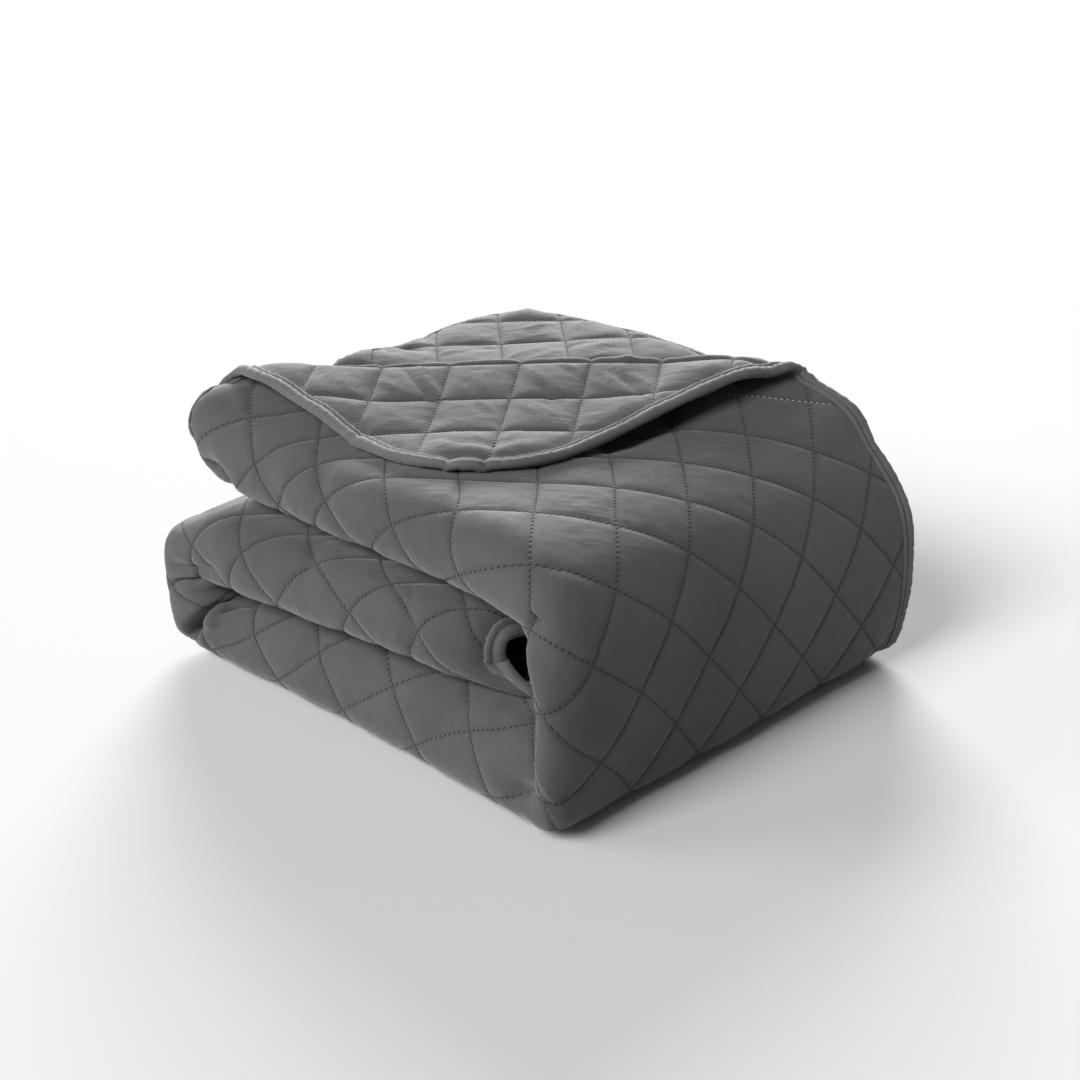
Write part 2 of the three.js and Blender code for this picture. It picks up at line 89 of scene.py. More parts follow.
def rail():
    pts = np.array([r[1:] for r in SECTIONS], float)
    p = np.vstack([2 * pts[0] - pts[1], pts, 2 * pts[-1] - pts[-2]])
    knot = lambda a, b: max(np.hypot(*(a - b)[:2]), 1e-6) ** 0.5
    out = []
    t = (np.arange(RAIL_STEPS) / RAIL_STEPS)[:, None]
    for a, b, c, d in zip(p, p[1:], p[2:], p[3:]):
        d1, d2, d3 = knot(a, b), knot(b, c), knot(c, d)
        m1 = ((b - a) / d1 - (c - a) / (d1 + d2) + (c - b) / d2) * d2
        m2 = ((c - b) / d2 - (d - b) / (d2 + d3) + (d - c) / d3) * d2
        out.append((2 * t**3 - 3 * t**2 + 1) * b + (t**3 - 2 * t**2 + t) * m1 + (-2 * t**3 + 3 * t**2) * c + (t**3 - t**2) * m2)
    rows = np.vstack(out + [pts[-1:]])
    rows[:, 1] = np.maximum(rows[:, 1], THICK / 2)
    dist = np.concatenate([[0], np.cumsum(np.hypot(*np.diff(rows[:, :2], axis=0).T))])
    return rows, dist


RAIL, RAIL_AT = rail()
LENGTH = float(RAIL_AT[-1])
STEP_U, STEP_V = 3.0, 2.0
GRID_U = np.linspace(0, LENGTH, int(round(LENGTH / STEP_U)) + 1)
GRID_V = np.linspace(0, WIDTH, int(round(WIDTH / STEP_V)) + 1)


def section(u):
    r = {c: np.interp(u, RAIL_AT, RAIL[:, k]) for k, c in enumerate(COLUMNS)}
    dx, dz = r["outX"] - r["inX"], r["outZ"] - r["inZ"]
    thick = math.hypot(dx, dz)
    half, ex, ez = thick / 2, dx / thick, dz / thick
    gap = INNER_GAP * thick
    inner = thick - gap - r["under"]
    ph = np.linspace(0, math.pi, BOW_POINTS + 1)
    outer = ph < math.pi / 2
    power = 2 / np.where(outer, r["fullOut"], r["fullIn"])
    deep = np.where(outer, r["deepOut"], r["deepIn"])
    by = r["front"] + deep * half * (1 - np.abs(np.sin(ph)) ** power)
    bn = np.sign(np.cos(ph)) * np.abs(np.cos(ph)) ** power * half
    y_in = r["front"] + INNER_SETBACK * gap + inner / 2
    far4 = r["far"] - r["tuck"]
    bow = np.hypot(np.diff(by), np.diff(bn)).sum()
    y_far = (WIDTH - r["far"] - far4 + by[0] + by[-1] + 2 * y_in - bow - math.pi * (gap + inner) / 2) / 2
    k = np.linspace(0, 1, 6)
    th = np.linspace(0, math.pi, BEND_POINTS + 1)
    q = np.concatenate([
        np.stack([r["far"] - k * FLOOR_LIFT_RUN, half - FLOOR_LIFT * max(-ez, 0) * (1 - k) ** 2], -1),
        np.stack([by, bn], -1),
        np.stack([y_far + gap / 2 * np.sin(th), -half + gap / 2 * (1 - np.cos(th))], -1),
        np.stack([y_in - inner / 2 * np.sin(th), -half + gap + inner / 2 * (1 - np.cos(th))], -1),
        [[far4, half - r["under"]]],
    ])
    s = np.concatenate([[0], np.cumsum(np.hypot(*np.diff(q, axis=0).T))])
    s *= WIDTH / s[-1]
    w = np.clip((q[:, 0] - by[0]) / (r["far"] - by[0]), 0, 1.1)
    kk = q[:, 1] / thick + 0.5
    q[:, 1] += w * w * (r["rise"] * kk + r["riseIn"] * (1 - kk))
    y, n = np.interp(GRID_V, s, q[:, 0]), np.interp(GRID_V, s, q[:, 1])
    return np.stack([(r["outX"] + r["inX"]) / 2 + ex * n, y, (r["outZ"] + r["inZ"]) / 2 + ez * n], -1) - ORIGIN


GRID = np.stack([section(u) for u in GRID_U])
GRID_N = np.cross(np.gradient(GRID, axis=0), np.gradient(GRID, axis=1))
GRID_N /= np.maximum(np.linalg.norm(GRID_N, axis=-1, keepdims=True), 1e-9)


def look(arr, u, v):
    fu, fv = u / LENGTH * (len(GRID_U) - 1), v / WIDTH * (len(GRID_V) - 1)
    i = np.clip(np.floor(fu).astype(int), 0, len(GRID_U) - 2)
    j = np.clip(np.floor(fv).astype(int), 0, len(GRID_V) - 2)
    a, b = (fu - i)[..., None], (fv - j)[..., None]
    return (arr[i, j] * (1 - a) + arr[i + 1, j] * a) * (1 - b) + (arr[i, j + 1] * (1 - a) + arr[i + 1, j + 1] * a) * b


EAR_LENGTH = math.hypot(EAR_ALONG, EAR_ACROSS)
EAR_DIR = np.array([-EAR_ALONG, -EAR_ACROSS]) / EAR_LENGTH
EAR_OUT = np.array([EAR_ACROSS, -EAR_ALONG]) / EAR_LENGTH


def ear(u, v):
    """distance past the turned-back fold, and distance along it"""
    ru, rv = u - LENGTH, v - EAR_ACROSS
    return ru * EAR_OUT[0] + rv * EAR_OUT[1], ru * EAR_DIR[0] + rv * EAR_DIR[1]


# Soft troughs and ridges, listed one by one: path on the flat sheet, height towards the side that shows, half width.
CREASES = (
    # near corner: the side panel's front edge stands out over the ends of the two rolls
    {"path": ((1157, 500), (1104, 494), (1074, 494), (1052, 500), (1034, 506), (1018, 500), (1004, 480)), "high": -17, "wide": 11, "ends": 0.18},
    {"path": ((1192, 536), (1112, 522), (1052, 522), (1012, 524), (984, 536)), "high": -34, "wide": 24, "ends": 0.2},
    {"path": ((1010, 468), (1000, 496), (996, 540)), "high": -15, "wide": 20, "ends": 0.25},
    {"path": ((1202, 453), (1170, 463), (1122, 463), (1082, 461), (1054, 467), (1032, 464)), "high": 5, "wide": 15, "ends": 0.25},
    {"path": ((1066, 462), (1050, 456)), "high": 6, "wide": 16, "ends": 0},
    {"path": ((1076, 466), (1064, 450), (1054, 440)), "high": -2.5, "wide": 4},
    {"path": ((1062, 474), (1052, 460), (1042, 452)), "high": -2.0, "wide": 3.5},
    {"path": ((1142, 1230), (1092, 1230), (1032, 1230)), "high": -14, "wide": 40, "ends": 0.3},
    {"path": ((890, 424), (950, 430), (1000, 450), (1020, 460)), "high": -4, "wide": 14, "ends": 0.2},
    # the tucked-in end sinks as it goes in behind the side panel
    {"path": ((0, 400), (0, 440), (0, 470)), "high": -14, "wide": 15, "ends": 0},
    {"path": ((16, 478), (12, 490), (2, 500)), "high": -4, "wide": 5, "ends": 0.2},
    {"path": ((24, 466), (22, 474), (16, 484)), "high": 2, "wide": 5, "ends": 0.3},
    # lower edges: the front one drawn in a little, the side one off the floor at the back
    {"path": ((592, 412), (692, 416), (792, 418), (912, 420)), "high": -4, "wide": 15, "ends": 0.2},
    {"path": ((1026, 0), (1026, 60), (1026, 150)), "high": -2, "wide": 26, "ends": 0},
    # pinch where the top roll meets the side panel
    {"path": ((1228, 462), (1221, 455), (1214, 447)), "high": -8, "wide": 7, "ends": 0.2},
    {"path": ((1238, 452), (1230, 443), (1218, 438)), "high": 3.5, "wide": 9, "ends": 0.3},
    {"path": ((1217, 447), (1197, 428), (1177, 405)), "high": -1.8, "wide": 6, "ends": 0.4},
    {"path": ((1232, 440), (1254, 415), (1272, 385)), "high": -1.6, "wide": 6, "ends": 0.4},
    # left turn of the strip: flattened, with creases that run into its inside
    {"path": ((458, 452), (442, 470), (424, 480), (392, 480), (350, 472)), "high": -6, "wide": 7, "ends": 0.25},
    {"path": ((486, 446), (474, 466), (462, 482), (444, 494), (420, 498)), "high": -6, "wide": 6, "ends": 0.25},
    {"path": ((549, 440), (545, 458), (540, 478), (537, 498), (536, 516), (534, 545)), "high": -40, "wide": 7.5, "ends": 0.1},
    {"path": ((312, 300), (360, 295), (404, 290), (446, 300)), "high": 14, "wide": 55, "ends": 0.35},
    {"path": ((558, 474), (556, 492), (552, 512)), "high": 5, "wide": 9, "ends": 0.3},
    {"path": ((592, 524), (574, 513), (564, 504), (556, 492)), "high": -10, "wide": 6, "ends": 0.25},
    {"path": ((420, 300), (430, 380), (436, 435), (434, 452)), "high": 6, "wide": 15, "ends": 0.25},
    {"path": ((516, 440), (544, 452), (582, 462)), "high": 3, "wide": 12, "ends": 0.4},
    # back layer: it stands up beside the flap, with short creases near its end
    {"path": ((1728, 1400), (1728, 1470), (1724, 1540)), "high": 13, "wide": 44, "ends": 0.45},
    {"path": ((1718, 1522), (1700, 1526), (1674, 1538)), "high": -5, "wide": 6, "ends": 0.3},
    {"path": ((1718, 1500), (1704, 1505), (1686, 1512)), "high": -3.5, "wide": 5, "ends": 0.3},
    {"path": ((1728, 1582), (1704, 1560), (1688, 1552)), "high": -4, "wide": 6, "ends": 0.3},
    # the flap: pulls across it and gathers at its tip
    {"path": ((1622, 226), (1632, 187), (1640, 150)), "high": -2.4, "wide": 4, "ends": 0.3},
    {"path": ((1615, 222), (1625, 184), (1633, 148)), "high": 1.5, "wide": 4, "ends": 0.3},
    {"path": ((1552, 128), (1562, 90), (1569, 62)), "high": -1.8, "wide": 4, "ends": 0.3},
    {"path": ((1492, 82), (1502, 50), (1509, 26)), "high": -1.6, "wide": 4.5, "ends": 0.3},
    {"path": ((1692, 92), (1686, 62), (1664, 40), (1632, 26)), "high": 1.8, "wide": 5, "ends": 0.3},
    {"path": ((1682, 96), (1674, 68), (1652, 48), (1622, 36)), "high": -1.6, "wide": 4, "ends": 0.3},
    {"path": ((1722, 40), (1708, 47), (1694, 58)), "high": -2.6, "wide": 3.5, "ends": 0.15},
    {"path": ((1704, 12), (1690, 24), (1678, 38)), "high": -2.8, "wide": 3.5, "ends": 0.15},
    {"path": ((1734, 150), (1718, 156), (1704, 166)), "high": -1.8, "wide": 4, "ends": 0.15},
    {"path": ((1388, 0), (1340, 0), (1300, 0), (1246, 0)), "high": 12, "wide": 42, "ends": 0.3},
    {"path": ((1384, 255), (1380, 200), (1382, 150), (1390, 100)), "high": -13, "wide": 21, "ends": 0.3},
    {"path": ((1384, 1450), (1380, 1505), (1382, 1555), (1390, 1605)), "high": -13, "wide": 26, "ends": 0.3},
    # left end of the top roll: full above, drawn in below
    {"path": ((1728, 366), (1716, 384), (1704, 404)), "high": 8, "wide": 24, "ends": 0.3},
    {"path": ((1710, 428), (1688, 436), (1662, 454)), "high": -12, "wide": 15, "ends": 0.3},
    # soft pulls down the top roll and along the front rolls
    {"path": ((1632, 395), (1582, 440), (1548, 486)), "high": -2.0, "wide": 9, "ends": 0.4},
    {"path": ((1552, 392), (1507, 436), (1478, 478)), "high": -1.8, "wide": 9, "ends": 0.4},
    {"path": ((250, 392), (222, 440), (205, 480)), "high": -2.0, "wide": 8, "ends": 0.4},
    {"path": ((120, 400), (98, 440), (70, 486)), "high": -2.2, "wide": 9, "ends": 0.4},
    {"path": ((692, 462), (722, 505), (740, 548)), "high": -2.0, "wide": 9, "ends": 0.4},
    {"path": ((872, 470), (912, 512), (942, 545)), "high": -2.4, "wide": 9, "ends": 0.4},
)


def crease_height(u, v):
    out = np.zeros(np.shape(u))
    for c in CREASES:
        pts = np.array(c["path"], float)
        best = np.full(np.shape(u), 1e9)
        at = np.zeros(np.shape(u))
        total = np.hypot(*np.diff(pts, axis=0).T).sum()
        run = 0.0
        for p, q in zip(pts, pts[1:]):
            d = q - p
            length = math.hypot(*d)
            t = np.clip(((u - p[0]) * d[0] + (v - p[1]) * d[1]) / length**2, 0, 1)
            dist = np.hypot(u - p[0] - t * d[0], v - p[1] - t * d[1])
            at = np.where(dist < best, (run + t * length) / total, at)
            best = np.minimum(best, dist)
            run += length
        ends = c.get("ends", 0.35)
        taper = smooth(np.minimum(at, 1 - at), -0.02, ends) if ends else 1.0
        out = out + c["high"] * np.exp(-((best / c["wide"]) ** 2)) * taper
    return out


def edge_lift(u, v):
    """the flap's two edges stand a little off the layer below; the roll's two ends turn in and the back layer's edge turns down"""
    t = LENGTH - u
    right = 14 * (1 - smooth(v, 0, 80)) * smooth(t, 110, 260) * (1 - smooth(t, 290, 400))
    left = 10 * (1 - smooth(t, 0, 75)) * smooth(v, 140, 215) * (1 - smooth(v, 270, 345))
    near_end = np.clip((u - LENGTH + 36) / 36, 0, 1) ** 2
    turn = near_end * (15 * smooth(v, 1205, 1240) * (1 - smooth(v, 1440, 1520)) - (14 + 10 * smooth(v, 400, 440)) * smooth(v, 352, 380) * (1 - smooth(v, 530, 570)))
    turn = turn + 14 * np.clip(1 - edge_distance(u, v) / 30, 0, 1) ** 2 * smooth(v, 1400, 1450) * smooth(u, 1290, 1380)
    turn = turn - 8 * smooth(ear(u, 1705 - v)[0], 5, 50) * smooth(v, 1330, 1400) * smooth(u, 1290, 1380)
    return right + left, turn


def at(u, v):
    """the middle of the cloth at (u along, v across) of the flat sheet"""
    u, v = np.broadcast_arrays(np.asarray(u, float), np.asarray(v, float))
    u = u + 60 * smooth(v, 545, 605) * (1 - smooth(u, 0, 200))    # the inner layers stop short at the tucked-in end
    d, along = ear(u, v)
    past = np.maximum(d - math.pi * EAR_RADIUS, 0)
    turn = np.clip(d / EAR_RADIUS, 0, math.pi)
    off = np.where(d > 0, EAR_RADIUS * np.sin(turn) - past, d)
    settled = 1 - np.exp(-past / EAR_SETTLE)
    lift = np.where(past > 0, 2 * EAR_RADIUS * (1 - settled) + EAR_LIE * settled, EAR_RADIUS * (1 - np.cos(turn)))
    f = d > 0
    uu = np.where(f, LENGTH + along * EAR_DIR[0] + off * EAR_OUT[0], u)
    vv = np.where(f, EAR_ACROSS + along * EAR_DIR[1] + off * EAR_OUT[1], v)
    here = np.clip((u - LENGTH + 620) / 160, 0, 1) * np.clip((480 - v) / 120, 0, 1)
    side = 2 * np.clip(along / EAR_LENGTH, 0, 1) - 1
    # the turned-back fold sinks towards its two ends
    low = 1 - 0.5 * smooth(along, 0.84 * EAR_LENGTH, EAR_LENGTH) - 0.15 * (1 - smooth(along, 0, 0.22 * EAR_LENGTH))
    lift = np.where(f, np.maximum(lift * low, np.minimum(lift, 7.0)), 0) + low * (SWELL_MIDDLE + SWELL_ENDS * side**2) * np.exp(-((off / SWELL_WIDTH) ** 2)) * here
    flap_up, turn_in = edge_lift(u, v)
    lift = lift + np.where(f, flap_up, 0) + turn_in * (1 - smooth(d, 0, 30)) + crease_height(u, v) * np.where(~f & (v > 1300), -1.0, 1.0)
    p = look(GRID, uu, vv) + look(GRID_N, uu, vv) * lift[..., None]
    # the tucked-in end reaches behind the side panel, with a gap left open above
    p[..., 0] += (41 * smooth(v, 470, 505) - 12) * smooth(v, 380, 420) * (1 - smooth(v, 570, 630)) * (1 - smooth(u, 0, 120))
    p[..., 2] -= 17 * smooth(v, 470, 520) * (1 - smooth(v, 570, 640)) * (1 - smooth(u, 0, 110))
    # the top roll's left end is full, and the left turn is broad in front
    p[..., 0] -= 11 * smooth(u, LENGTH - 110, LENGTH - 25) * smooth(v, 330, 376) * (1 - smooth(v, 450, 500))
    p[..., 0] += 20 * smooth(v, 445, 535) * (1 - smooth(v, 580, 660)) * smooth(u, 425, 465) * (1 - smooth(u, 515, 545))
    # near corner: the inner fold stands back, and the bottom roll runs straight on behind the side panel
    p[..., 1] += 24 * smooth(v, 1160, 1240) * (1 - smooth(v, 1340, 1440)) * smooth(u, 930, 1000) * (1 - smooth(u, 1150, 1230))
    on = (smooth(v, 472, 500) * (1 - smooth(v, 560, 620)) * smooth(u, 956, 985) * (1 - smooth(u, 1022, 1056)))[..., None]
    start = np.full(np.shape(u), 955.0)
    along_roll = look(GRID, start, v) + (u - 955)[..., None] * np.array([1.0, -0.06, 0.02])
    return p * (1 - on) + along_roll * on


def normal(u, v, h=2.0):
    n = np.cross(at(u + h, v) - at(u - h, v), at(u, v + h) - at(u, v - h))
    return n / np.maximum(np.linalg.norm(n, axis=-1, keepdims=True), 1e-9)


# ---------------------------------------------------------------- outline of the flat sheet
def edge_distance(u, v):
    """how far inside the rounded outline"""
    cu = np.clip(u, CORNER_RADIUS, LENGTH - CORNER_RADIUS)
    cv = np.clip(v, CORNER_RADIUS, WIDTH - CORNER_RADIUS)
    return CORNER_RADIUS - np.hypot(u - cu, v - cv)


def pull_in(u, v, inset):
    cu = np.clip(u, CORNER_RADIUS, LENGTH - CORNER_RADIUS)
    cv = np.clip(v, CORNER_RADIUS, WIDTH - CORNER_RADIUS)
    du, dv = u - cu, v - cv
    r = np.maximum(np.hypot(du, dv), 1e-9)
    k = np.minimum((CORNER_RADIUS - inset) / r, 1)
    return cu + du * k, cv + dv * k


# ---------------------------------------------------------------- quilting: lines where a or b is a whole number
QUILT_U, QUILT_V = 92.0, 84.5
QUILT_AT = (-23.2, -10.62)
QUILT_SIDE = math.hypot(QUILT_U, QUILT_V) / 2
STITCHES = 12            # on each side of a diamond
SEAM_HALF, PUFF = 0.9, 2.7


# The cloth skews a little where it rolls: how far some crossings (a, b) of the lines lie off their even place, in mm.
DRIFT = (
    ((9, -2), (9, -6)), ((8, -3), (11, -21)), ((7, -4), (18, -28)), ((8, -4), (2, -36)), ((7, -5), (13, -43)), ((6, -5), (23, -32)),
    ((13, 1), (5, -11)), ((14, 2), (18, -4)), ((15, 3), (28, 2)), ((16, 4), (40, 8)), ((17, 5), (38, -6)), ((17, 4), (55, -4)), ((14, 3), (8, -3)), ((15, 4), (11, 4)), ((16, 5), (16, 4)),
    ((23, 14), (-24, 14)), ((22, 13), (-9, 5)), ((21, 12), (1, 0)), ((20, 11), (7, -2)), ((20, 10), (7, 0)), ((19, 10), (8, 2)), ((19, 9), (0, 16)),
    ((20, 9), (23, 8)), ((21, 10), (18, -14)), ((22, 11), (17, -18)),
    ((17, 6), (14, 14)), ((18, 7), (-5, 12)), ((18, 8), (-5, 10)), ((17, 7), (0, 0)), ((19, 11), (0, 0)), ((20, 12), (0, 0)), ((21, 13), (0, 0)),
)
DRIFT_WIDE = 75.0


def even_uv(a, b):
    return QUILT_AT[0] + QUILT_U * (a + b) / 2, QUILT_AT[1] + QUILT_V * (a - b) / 2


DRIFT_AT = np.array([even_uv(*node) for node, _ in DRIFT])
DRIFT_FALL = np.exp(-(((DRIFT_AT[:, None] - DRIFT_AT[None]) / DRIFT_WIDE) ** 2).sum(-1))
DRIFT_BY = np.linalg.solve(DRIFT_FALL + 0.05 * np.eye(len(DRIFT)), np.array([by for _, by in DRIFT], float))


def drift(u, v):
    u, v = np.asarray(u, float), np.asarray(v, float)
    du, dv = np.zeros(np.shape(u)), np.zeros(np.shape(u))
    for (cu, cv), by in zip(DRIFT_AT, DRIFT_BY):
        w = np.exp(-(((u - cu) / DRIFT_WIDE) ** 2) - ((v - cv) / DRIFT_WIDE) ** 2)
        du, dv = du + by[0] * w, dv + by[1] * w
    return du, dv


def to_even(u, v):
    pu, pv = u, v
    for _ in range(12):
        du, dv = drift(pu, pv)
        pu, pv = u - du, v - dv
    return pu, pv


def to_ab(u, v):
    u, v = to_even(u, v)
    x, y = (u - QUILT_AT[0]) / QUILT_U, (v - QUILT_AT[1]) / QUILT_V
    return x + y, x - y


def to_uv(a, b):
    u, v = even_uv(a, b)
    du, dv = drift(u, v)
    return u + du, v + dv


def cell_random(a, b, k):
    x = np.sin(np.floor(a) * 12.9898 + np.floor(b) * 78.233 + k * 37.719) * 43758.5453
    return x - np.floor(x)


# Short pulls of the cloth inside the diamonds: direction on the flat sheet and height, by place.
def pulls(u, v, side):
    back = v > 1000
    if side:
        way = (np.where(back, -0.26, 0.23), np.where(back, 0.96, -0.97))
        high = np.where(back, 1.5, 1.9)
    else:
        places = (u < 470, u < 1010, u < 1245)
        way = (np.select(places, (0.66, 0.49, 0.8), 0.45), np.select(places, (-0.75, 0.87, 0.6), -0.89))
        high = np.select(places, (0.9, 0.85, 0.3), 0.9)
    a, b = to_ab(u, v)
    cu, cv = to_uv(np.floor(a) + 0.5, np.floor(b) + 0.5)
    out = np.zeros(np.shape(u))
    for k in range(5):
        r = [cell_random(a, b, 10 * k + j + 100 * side) for j in range(6)]
        bend = (r[0] - 0.5) * 0.7
        dx, dy = way[0] * np.cos(bend) - way[1] * np.sin(bend), way[0] * np.sin(bend) + way[1] * np.cos(bend)
        x, y = u - cu - (r[1] - 0.5) * 50, v - cv - (r[2] - 0.5) * 46
        along, across = x * dx + y * dy, y * dx - x * dy
        wide = (2.4 if side else 3.2) + 2.2 * r[3]
        sign = np.where(r[5] < 0.62, 1.0, -0.8)
        out = out + sign * (0.5 + 0.5 * r[4]) * np.exp(-((across / wide) ** 2) - (along / (11 + 12 * r[3])) ** 2)
    return out * high


def half_thickness(u, v, side=0):
    a, b = to_ab(u, v)
    fa, fb = a - np.floor(a), b - np.floor(b)
    da = np.minimum(fa, 1 - fa) * QUILT_SIDE
    db = np.minimum(fb, 1 - fb) * QUILT_SIDE
    near = (1 - np.exp(-da / 4.5)) * (1 - np.exp(-db / 4.5))
    pillow = np.sin(math.pi * fa) * np.sin(math.pi * fb)
    full = 0.85 + 0.3 * cell_random(a, b, 1)
    h = PUFF * (1.45 if side else 0.75) * full * near * (0.66 + 0.34 * pillow) + pulls(u, v, side) * near
    return SEAM_HALF + np.maximum(h, -0.2) * smooth(edge_distance(u, v), 11, 25)


# Where the sheet can be seen, on its face (side 0) and on its reverse (side 1).
FAR_FOLD = GRID_V[(GRID_V < 600).sum() + GRID[:, (GRID_V >= 600) & (GRID_V < 1200), 1].argmax(axis=1)]


def far_fold(u, v):
    return np.abs(v - np.interp(u, GRID_U, FAR_FOLD)) < 26


def seen(u, v, side):
    d, _ = ear(u, v)
    if side == 0:
        shown = v < 640
        shown &= ~((u < 300) & (v < 330))
        shown &= ~((u > 640) & (u < 990) & (v < 380))
        return shown
    return (d > -30) | ((u > 1290) & (v > WIDTH - 360) & (ear(u, 1705 - v)[0] > -45))


RES = 24


def quilt_mesh():
    lo_u, hi_u = 0, LENGTH
    a_all, b_all = to_ab(np.array([0, LENGTH, 0, LENGTH]), np.array([0, 0, WIDTH, WIDTH]))
    steps = ({}, {})
    for i in range(math.floor(a_all.min()) - 1, math.ceil(a_all.max()) + 1):
        for j in range(math.floor(b_all.min()) - 1, math.ceil(b_all.max()) + 1):
            u, v = to_uv(np.array([i, i + 1, i + 1, i], float), np.array([j, j, j + 1, j + 1], float))
            d = edge_distance(u, v)
            um, vm = u.mean(), v.mean()
            if d.max() < 0 and edge_distance(um, vm) < 0:
                continue
            vis = [bool(seen(np.append(u, um), np.append(v, vm), s).any()) for s in (0, 1)]
            if d.min() < 15:
                both = 2 if any(vis) else 4
                steps[0][i, j] = steps[1][i, j] = both
            else:
                for s in (0, 1):
                    turned = far_fold(np.append(u, um), np.append(v, vm)).any()
                    steps[s][i, j] = (1 if s or (380 < um < 620 and 400 < vm < 600) else 2) if vis[s] else ((4 if s else 2) if turned else 8)
    ids, keys, faces = {}, [], []

    def vid(side, A, B):
        k = (side, A, B)
        if k not in ids:
            ids[k] = len(keys)
            keys.append(k)
        return ids[k]

    def warp(k):
        t = k / RES
        return t - 0.5 * math.sin(2 * math.pi * t) / (2 * math.pi)

    WARP = [warp(k) for k in range(RES)]

    def real(A):
        return A // RES + WARP[A % RES]

    for side in (0, 1):
        for (i, j), st in steps[side].items():
            near = {d: steps[side].get((i + d[0], j + d[1]), st) for d in ((0, -1), (1, 0), (0, 1), (-1, 0))}
            edge = steps[0][i, j] == steps[1][i, j]
            for ka in range(0, RES, st):
                for kb in range(0, RES, st):
                    A, B = i * RES + ka, j * RES + kb
                    if edge:
                        a, b = (real(A) + real(A + st)) / 2, (real(B) + real(B + st)) / 2
                        u, v = to_uv(a, b)
                        if edge_distance(u, v) < 2:
                            continue
                    poly = []
                    for (sa, sb), (da, db), on in (
                        ((0, 0), (1, 0), kb == 0 and (0, -1)),
                        ((st, 0), (0, 1), ka + st == RES and (1, 0)),
                        ((st, st), (-1, 0), kb + st == RES and (0, 1)),
                        ((0, st), (0, -1), ka == 0 and (-1, 0)),
                    ):
                        fine = min(st, near[on]) if on else st
                        for k in range(0, st, fine):
                            poly.append(vid(side, A + sa + da * k, B + sb + db * k))
                    faces.append(poly if side else poly[::-1])
    key = np.array(keys)
    a = np.floor_divide(key[:, 1], RES) + np.array(WARP)[key[:, 1] % RES]
    b = np.floor_divide(key[:, 2], RES) + np.array(WARP)[key[:, 2] % RES]
    eu, ev = even_uv(a, b)
    du, dv = drift(eu, ev)
    u, v = pull_in(eu + du, ev + dv, 2.0)
    # walls between the two sides round the edge
    open_edges = {}
    other = {n: ids.get((1 - k[0], k[1], k[2])) for n, k in enumerate(keys)}
    for f in faces:
        if keys[f[0]][0] == 1:
            continue
        for x, y in zip(f, f[1:] + f[:1]):
            if (y, x) in open_edges:
                del open_edges[y, x]
            else:
                open_edges[x, y] = True
    for x, y in open_edges:
        faces.append([y, x, other[x], other[y]])
    mid, n = at(u, v), normal(u, v)
    half = np.where(key[:, 0] == 0, half_thickness(u, v, 0), -half_thickness(u, v, 1))
    pos = mid + n * half[:, None]
    pos[:, 2] = np.maximum(pos[:, 2], 0.0)
    return pos, faces, u - du, v - dv


def make(name, pos, faces, uv=None):
    me = bpy.data.meshes.new(name)
    me.from_pydata((pos * MM).tolist(), [], faces)
    if uv is not None:
        layer = me.uv_layers.new(name="flat")
        idx = np.empty(len(me.loops), np.int32)
        me.loops.foreach_get("vertex_index", idx)
        layer.data.foreach_set("uv", (np.stack(uv, -1)[idx] * MM).astype(np.float32).ravel())
    me.polygons.foreach_set("use_smooth", np.ones(len(me.polygons), bool))
    me.update()
    ob = bpy.data.objects.new(name, me)
    bpy.context.scene.collection.objects.link(ob)
    return ob


# ---------------------------------------------------------------- edge binding
def outline(step):
    """points round the flat sheet's edge: (u, v), outward direction, distance round"""
    r = CORNER_RADIUS
    sides = ((r, 0, 1, 0, LENGTH - 2 * r), (LENGTH, r, 0, 1, WIDTH - 2 * r), (LENGTH - r, WIDTH, -1, 0, LENGTH - 2 * r), (0, WIDTH - r, 0, -1, WIDTH - 2 * r))
    pts, outs = [], []
    for u, v, du, dv, long in sides:
        n = int(round(long / step))
        for k in range(n):
            pts.append((u + du * long * k / n, v + dv * long * k / n))
            outs.append((dv, -du))
        cu, cv = u + du * long - dv * r, v + dv * long + du * r
        n = int(round(r * math.pi / 2 / step))
        a0 = math.atan2(-du, dv)
        for k in range(n):
            a = a0 + math.pi / 2 * k / n
            pts.append((cu + r * math.cos(a), cv + r * math.sin(a)))
            outs.append((math.cos(a), math.sin(a)))
    pts, outs = np.array(pts), np.array(outs)
    s = np.concatenate([[0], np.cumsum(np.hypot(*np.diff(pts, axis=0).T))])
    return pts, outs, s


# (distance in from the edge, height above the middle of the cloth) of the binding's outer and inner faces, upper half
BIND_OUTER = ((15.2, 1.2), (14.8, 2.2), (13.4, 3.0), (11.8, 2.9), (10.4, 1.9), (9.1, 3.1), (7.2, 4.2), (4.8, 4.6), (2.4, 3.9), (0.7, 2.3), (-0.2, 0.0))
BIND_INNER = ((14.2, 1.0), (10.4, 1.2), (5.5, 2.8), (2.2, 1.8), (1.0, 0.0))
BIND_SEAM, BIND_SEAM_HIGH = 10.4, 2.0


